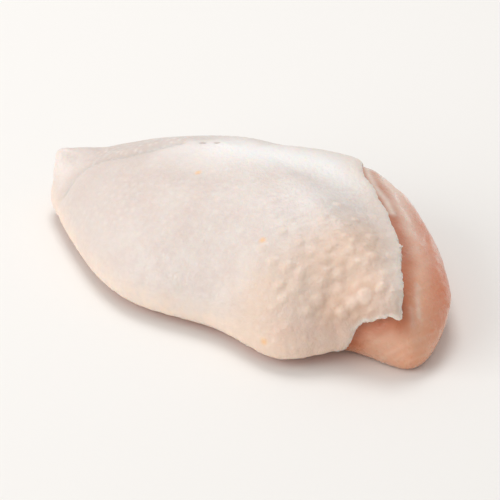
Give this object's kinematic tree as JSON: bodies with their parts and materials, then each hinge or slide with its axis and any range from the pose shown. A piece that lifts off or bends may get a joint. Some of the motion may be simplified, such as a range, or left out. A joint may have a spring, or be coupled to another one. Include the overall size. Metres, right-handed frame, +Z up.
{
  "type": "raw skin-on chicken breast",
  "caption": "Raw boneless chicken breast half lying flesh side down, with pale pimpled skin drawn over a plump muscle and pink flesh bare at one end.",
  "frame": {"origin": "middle of the part's box in plan, on the flat underside that it rests on", "axes": "+X along the breast towards the end with bare flesh, +Y away from the near long side with the inward bend, +Z up through the skin side"},
  "size_m": [0.1644, 0.0942, 0.0394],
  "materials": {
    "flesh": null,
    "skin": null
  },
  "bodies": {
    "root": {"flesh": "flesh", "skin": "skin"}
  },
  "joints": []
}
